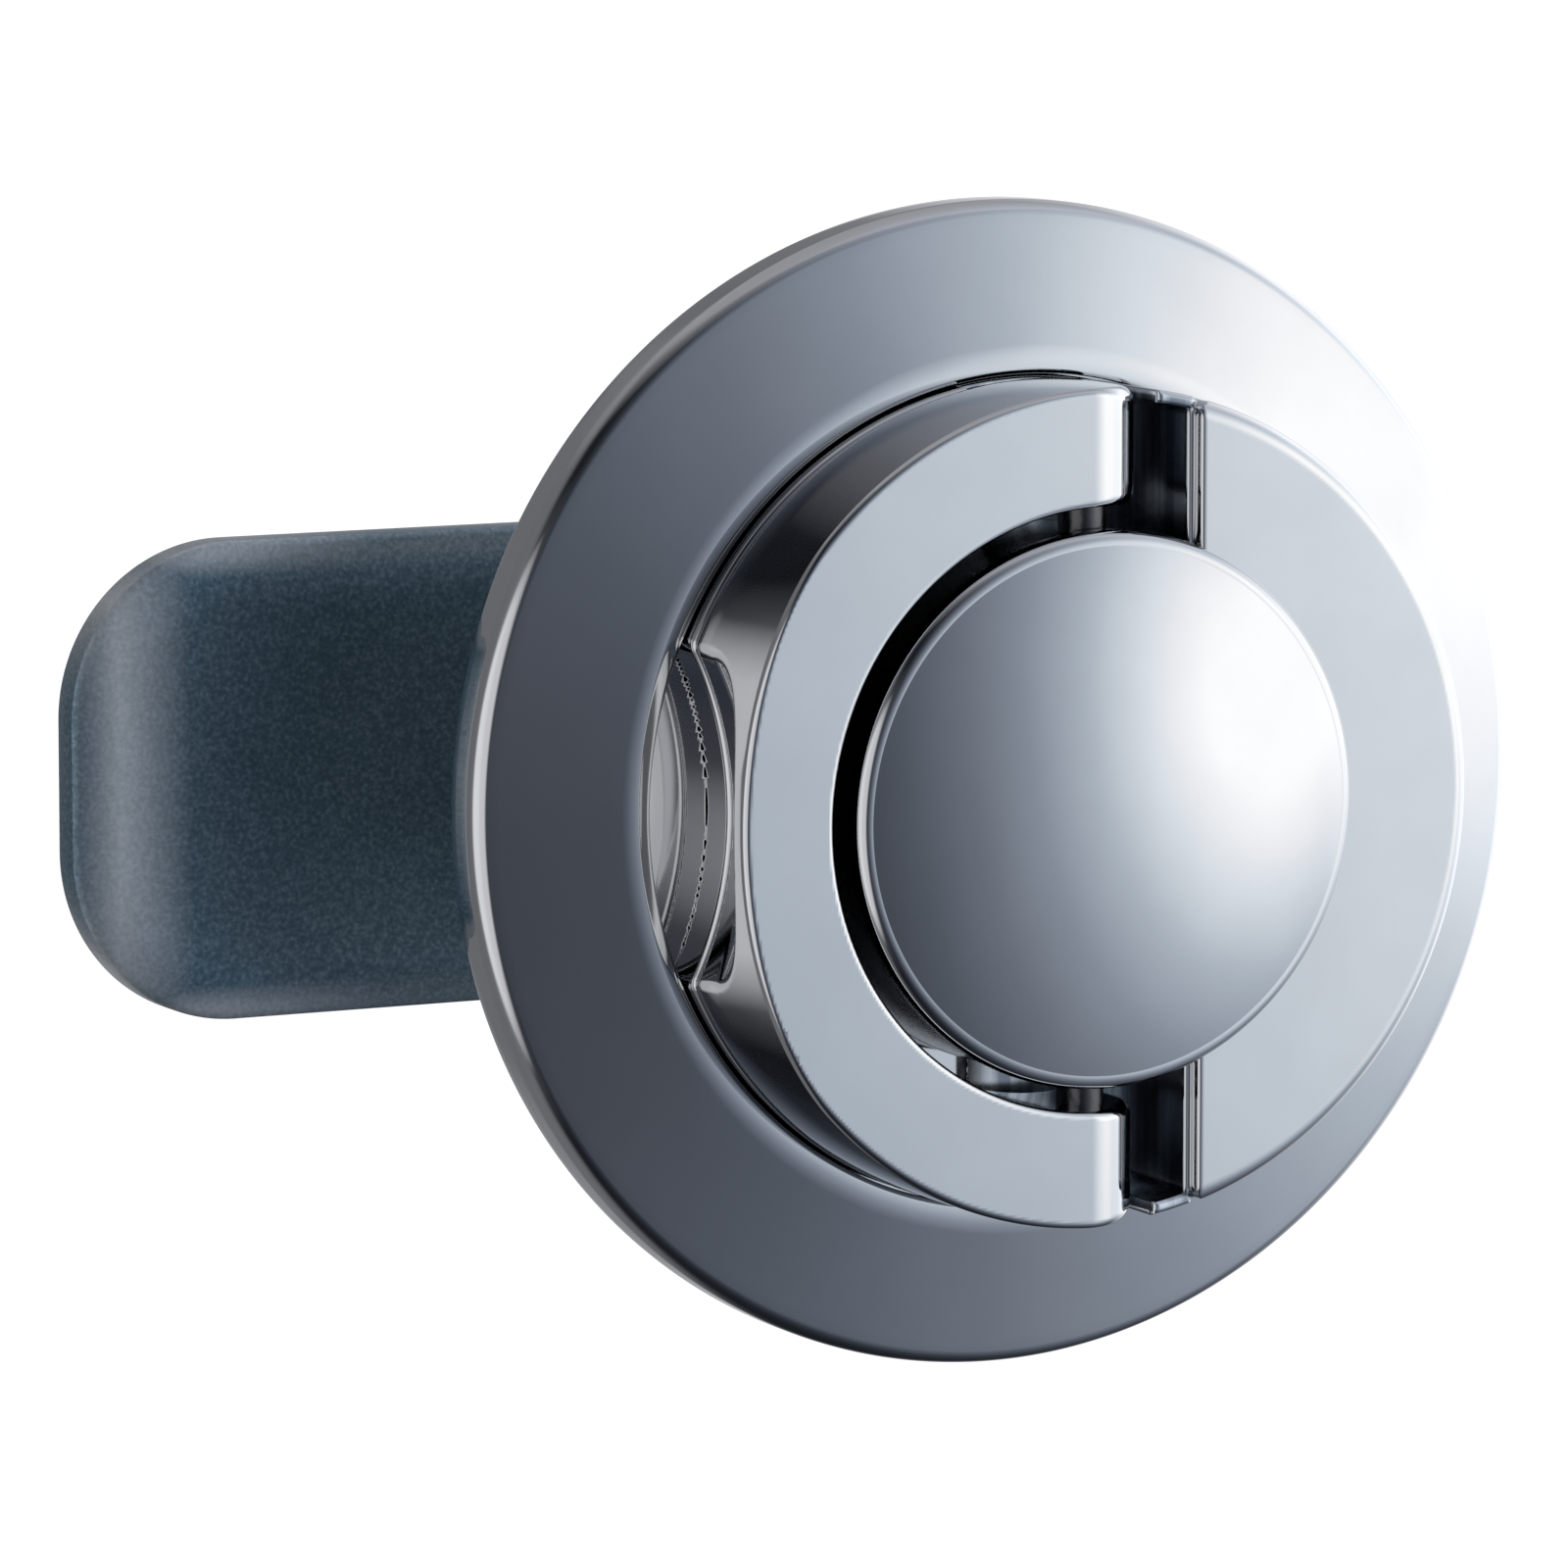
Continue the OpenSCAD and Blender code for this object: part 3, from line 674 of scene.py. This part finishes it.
def make_hub():
    boss = [(0.0, -NECK_LEN), (NECK_R, -NECK_LEN), (NECK_R, HUB_H),
            (BOSS_R, HUB_H), (BOSS_R, BOSS_H), (0.0, BOSS_H)]
    points, faces = turned(refine(boss, 1.2), BOSS_TURNS)
    # The boss is painted dark all over: painted shade for the dark gap between handle and dome
    paint = shaded_recess_paint("chrome_boss", deep_all, BOSS_PAINTED_SHADE)
    add_piece("hub_boss", points, faces, "hub", paint, ("turn_hub",), crease=30)
    low = (BASE_IN_R, 0.0, HUB_H)
    high = (RING_R, 2 * math.pi * RING_R, END_WALL_H)
    points, faces, normals = netted(hub_base_distance, low, high, BASE_STEP, bent)
    # Painted shade in the slot and under the handle, inside the outside wall
    paint = shaded_recess_paint("chrome_base", deep_inside, SLOT_PAINTED_SHADE)
    add_piece("hub_base", points, faces, "hub", paint, ("turn_hub",), normals=normals)
    low = (FIXED_X, -RING_R, SLOT_FLOOR_H - WALL_ROOT)
    high = (RING_R, RING_R, RING_H)
    points, faces, normals = netted(fixed_half_distance, low, high, FIXED_STEP)
    # Painted shade on the slot wall below the ledge
    paint = shaded_recess_paint("chrome_half_ring", deep_in_slot, SLOT_PAINTED_SHADE)
    add_piece("hub_half_ring", points, faces, "hub", paint, ("turn_hub",), normals=normals)


def make_dome(chrome):
    rim_r = DOME_R - DOME_ROUND
    ball_r = (rim_r ** 2 + DOME_RISE ** 2) / (2 * DOME_RISE)
    ball_h = DOME_RIM_H + DOME_RISE - ball_r
    rim_angle = math.degrees(math.acos(rim_r / ball_r))
    section = [(0.0, BOSS_H), (DOME_R, BOSS_H)]
    section += arc((rim_r, DOME_RIM_H - DOME_ROUND), DOME_ROUND, 0, 90, 14)
    section += arc((0.0, ball_h), ball_r, rim_angle, 89.5, 60)
    section += [(0.0, ball_h + ball_r)]
    points, faces = turned(section, DOME_TURNS)
    add_piece("dome", points, faces, "hub", chrome, ("dome_cap",), crease=20)


def make_handle(chrome):
    low = (-RING_R, -RING_R, HANDLE_H)
    high = (SLOT_X, RING_R, RING_H)
    points, faces, normals = netted(handle_distance, low, high, HANDLE_STEP)
    add_piece("half_ring_handle", points, faces, "handle", chrome, ("ring_handle",),
              normals=normals)


def tongue_outline(inset, count=40):
    """The tongue's outline moved inwards, counter-clockwise from the lower right."""
    half = TONGUE_HALF - inset
    corner = TONGUE_CORNER - inset
    corner_x = -TONGUE_REACH + TONGUE_CORNER
    corner_y = TONGUE_HALF - TONGUE_CORNER
    points = arc((0.0, 0.0), half, -90, 90, 2 * count)
    points += [(corner_x * k / 30, half) for k in range(1, 30)]
    points += arc((corner_x, corner_y), corner, 90, 180, count)
    points += [(-TONGUE_REACH + inset, corner_y - 2 * corner_y * k / 8) for k in range(1, 8)]
    points += arc((corner_x, -corner_y), corner, 180, 270, count)
    points += [(corner_x - corner_x * k / 30, -half) for k in range(1, 30)]
    return points


def tongue_section():
    """Inset from the outline and height over the rear face, from the front to the rear."""
    section = []
    for inset in np.linspace(TONGUE_BORDER, TONGUE_ROLL_END, 22):
        run = TONGUE_BORDER - inset
        section.append((inset, TONGUE_T - TONGUE_ROLL_R + math.sqrt(TONGUE_ROLL_R ** 2 - run ** 2)))
    edge_h = section[-1][1] - TONGUE_EDGE_DROP
    section += [(TONGUE_EDGE - TONGUE_EDGE * math.sin(a), edge_h + TONGUE_EDGE_H * math.cos(a))
                for a in np.radians((25, 45, 65, 90))]
    section += [(0.0, TONGUE_REAR_EDGE), (TONGUE_REAR_MID, TONGUE_REAR_MID), (TONGUE_REAR_EDGE, 0.0)]
    return section


def make_tongue(paint):
    section = tongue_section()
    rings = []
    for inset, height in section:
        outline = np.array(tongue_outline(inset))
        level = np.full(len(outline), height - TONGUE_SET - TONGUE_T)
        rings.append(to_world(outline[:, 0], outline[:, 1], level))
    count = len(rings[0])
    faces = [tuple(range(count))]
    for i in range(len(rings) - 1):
        for j in range(count):
            n = (j + 1) % count
            faces.append((i * count + j, (i + 1) * count + j, (i + 1) * count + n, i * count + n))
    last = (len(rings) - 1) * count
    faces.append(tuple(range(last, last + count))[::-1])
    add_piece("tongue", np.concatenate(rings), faces, "hub", paint, ("cam_tongue",),
              crease=30)


def paint_solids(paints):
    slots = {row["node"]: row["material_slot"] for row in frame["record"]["subparts"]}
    for name, piece in nodes.items():
        piece.data.materials.clear()
        piece.data.materials.append(paints[slots[name]])


# Camera and studio

def direction(azimuth, elevation):
    a, e = math.radians(azimuth), math.radians(elevation)
    return Vector((math.sin(a) * math.cos(e), -math.cos(a) * math.cos(e), math.sin(e)))


def make_camera():
    camera = bpy.data.objects.new("camera", bpy.data.cameras.new("camera"))
    camera.data.sensor_width = VIEW_SENSOR
    camera.data.lens = VIEW_LENS
    camera.data.clip_start = 0.01
    camera.data.clip_end = 50.0
    back = direction(VIEW_AZ, VIEW_EL)
    camera.location = VIEW_TARGET + back * VIEW_DIST
    camera.rotation_euler = (-back).to_track_quat("-Z", "Y").to_euler()
    bpy.context.scene.collection.objects.link(camera)
    bpy.context.scene.camera = camera


# Brightness of the tent by degrees from the middle of each light
KEY_FALL = ((0, (0.985, 0.985, 0.985)), (8, (0.98, 0.98, 0.98)), (12, (0.965, 0.966, 0.968)),
            (18, (0.83, 0.837, 0.85)), (24, (0.66, 0.702, 0.748)), (34, (0.395, 0.443, 0.498)),
            (44, (0.226, 0.259, 0.306)), (54, (0.138, 0.156, 0.192)), (64, (0.08, 0.091, 0.113)),
            (76, (0.034, 0.039, 0.051)), (86, (0.018, 0.021, 0.027)), (95, (0.011, 0.013, 0.017)),
            (105, (0.01, 0.011, 0.014)), (112, (0.03, 0.032, 0.037)), (120, (0.1, 0.103, 0.11)),
            (130, (0.13, 0.133, 0.14)), (180, (0.12, 0.122, 0.13)))
REAR_FALL = ((0, (0.5, 0.5, 0.505)), (7, (0.46, 0.46, 0.465)), (15, (0.3, 0.3, 0.31)),
             (28, (0.12, 0.12, 0.125)), (45, (0.0, 0.0, 0.0)))
SIDE_FALL = ((0, (0.52, 0.52, 0.53)), (26, (0.5, 0.5, 0.51)), (31, (0.3, 0.3, 0.31)),
             (36, (0.03, 0.03, 0.032)), (45, (0.0, 0.0, 0.0)))
BACK_FALL = ((0, (0.76, 0.76, 0.77)), (24, (0.7, 0.7, 0.71)), (38, (0.2, 0.2, 0.205)),
             (48, (0.0, 0.0, 0.0)))
TOP_FALL = ((0, (0.27, 0.27, 0.28)), (32, (0.26, 0.26, 0.27)), (42, (0.12, 0.12, 0.125)),
            (50, (0.06, 0.06, 0.063)), (58, (0.0, 0.0, 0.0)))


def tent_light(tree, position, centre, stops):
    dot = tree.nodes.new("ShaderNodeVectorMath")
    dot.operation = "DOT_PRODUCT"
    dot.inputs[1].default_value = centre
    tree.links.new(position, dot.inputs[0])
    angle = tree.nodes.new("ShaderNodeMath")
    angle.operation = "ARCCOSINE"
    tree.links.new(dot.outputs["Value"], angle.inputs[0])
    share = tree.nodes.new("ShaderNodeMath")
    share.operation = "DIVIDE"
    share.inputs[1].default_value = math.pi
    tree.links.new(angle.outputs[0], share.inputs[0])
    ramp = tree.nodes.new("ShaderNodeValToRGB")
    ramp.color_ramp.interpolation = "LINEAR"
    while len(ramp.color_ramp.elements) < len(stops):
        ramp.color_ramp.elements.new(0.5)
    for element, (degrees, color) in zip(ramp.color_ramp.elements, stops):
        element.position = degrees / 180
        element.color = (*color, 1)
    tree.links.new(share.outputs[0], ramp.inputs["Fac"])
    return ramp.outputs["Color"]


def together(tree, first, second):
    node = tree.nodes.new("ShaderNodeVectorMath")
    node.operation = "ADD"
    tree.links.new(first, node.inputs[0])
    tree.links.new(second, node.inputs[1])
    return node.outputs["Vector"]


def make_tent():
    """A light tent around the object: a wide soft light at the right that runs on to the back,
    and weaker ones behind, at the left and above."""
    bpy.ops.mesh.primitive_uv_sphere_add(segments=128, ring_count=64, radius=TENT_R)
    tent = bpy.context.object
    tent.name = "light_tent"
    material = bpy.data.materials.new("tent_cloth")
    material.use_nodes = True
    tree = material.node_tree
    tree.nodes.remove(tree.nodes["Principled BSDF"])
    unit = tree.nodes.new("ShaderNodeVectorMath")
    unit.operation = "NORMALIZE"
    tree.links.new(tree.nodes.new("ShaderNodeTexCoord").outputs["Object"], unit.inputs[0])
    key = tent_light(tree, unit.outputs["Vector"], direction(KEY_AZ, KEY_EL), KEY_FALL)
    rear = tent_light(tree, unit.outputs["Vector"], direction(REAR_AZ, REAR_EL), REAR_FALL)
    side = tent_light(tree, unit.outputs["Vector"], direction(SIDE_AZ, SIDE_EL), SIDE_FALL)
    back = tent_light(tree, unit.outputs["Vector"], direction(BACK_AZ, BACK_EL), BACK_FALL)
    glow = tree.nodes.new("ShaderNodeEmission")
    top = tent_light(tree, unit.outputs["Vector"], direction(TOP_AZ, TOP_EL), TOP_FALL)
    right = together(tree, together(tree, key, back), rear)
    tree.links.new(together(tree, right, together(tree, side, top)), glow.inputs["Color"])
    glow.inputs["Strength"].default_value = TENT_GAIN
    tree.links.new(glow.outputs["Emission"], tree.nodes["Material Output"].inputs["Surface"])
    tent.data.materials.append(material)
    tent.visible_camera = False


def make_floor():
    bpy.ops.mesh.primitive_plane_add(size=30.0, location=(0, 0, FLOOR_Z))
    floor = bpy.context.object
    floor.name = "floor"
    paint = Paint("floor_paint", (0.96, 0.96, 0.96), 0.0, 0.9)
    tone = paint.noise(3.0, 2.0)
    paint.color(paint.ramp(tone, ((0.3, (0.955, 0.955, 0.955)), (0.7, (0.965, 0.965, 0.965)))))
    whiten(paint)
    floor.data.materials.append(paint.material)


def whiten(paint):
    """The floor as the camera and the metal see it is white; its shadows stay."""
    ray = paint.tree.nodes.new("ShaderNodeLightPath")
    seen = paint.math("MAXIMUM", ray.outputs["Is Camera Ray"], ray.outputs["Is Glossy Ray"])
    seen = paint.math("MAXIMUM", seen, ray.outputs["Is Transmission Ray"])
    paint.shader.inputs["Emission Color"].default_value = (1, 1, 1, 1)
    paint.link(paint.math("MULTIPLY", seen, FLOOR_LIFT), paint.shader.inputs["Emission Strength"])


def make_world():
    world = bpy.data.worlds.new("studio")
    world.use_nodes = True
    background = world.node_tree.nodes["Background"]
    background.inputs["Color"].default_value = (1, 1, 1, 1)
    background.inputs["Strength"].default_value = 1.0
    bpy.context.scene.world = world
    bpy.context.scene.view_settings.view_transform = "Standard"


paints = {
    "chrome": chrome_paint(),
    "zinc_plated": zinc_paint("zinc_plated", (0.52, 0.54, 0.57), (0.64, 0.65, 0.67), 0.26, 0.42),
    "tongue_steel": tongue_paint(),
    # The hinge pins are painted near black: painted shade for the dark gap between hub and handle where
    # they show
    "pin_steel": zinc_paint("pin_steel", (0.07, 0.07, 0.075), (0.13, 0.13, 0.135), 0.2, 0.32),
    "spring_steel": zinc_paint("spring_steel", (0.2, 0.2, 0.21), (0.3, 0.3, 0.31), 0.3, 0.45),
    "rubber": rubber_paint(),
    "glide_plastic": plastic_paint(),
}
paint_solids(paints)
make_bezel(paints["chrome"])
make_barrel(paints["chrome"])
make_hub()
make_dome(paints["chrome"])
make_handle(paints["chrome"])
make_tongue(paints["tongue_steel"])
make_camera()
make_tent()
make_floor()
make_world()
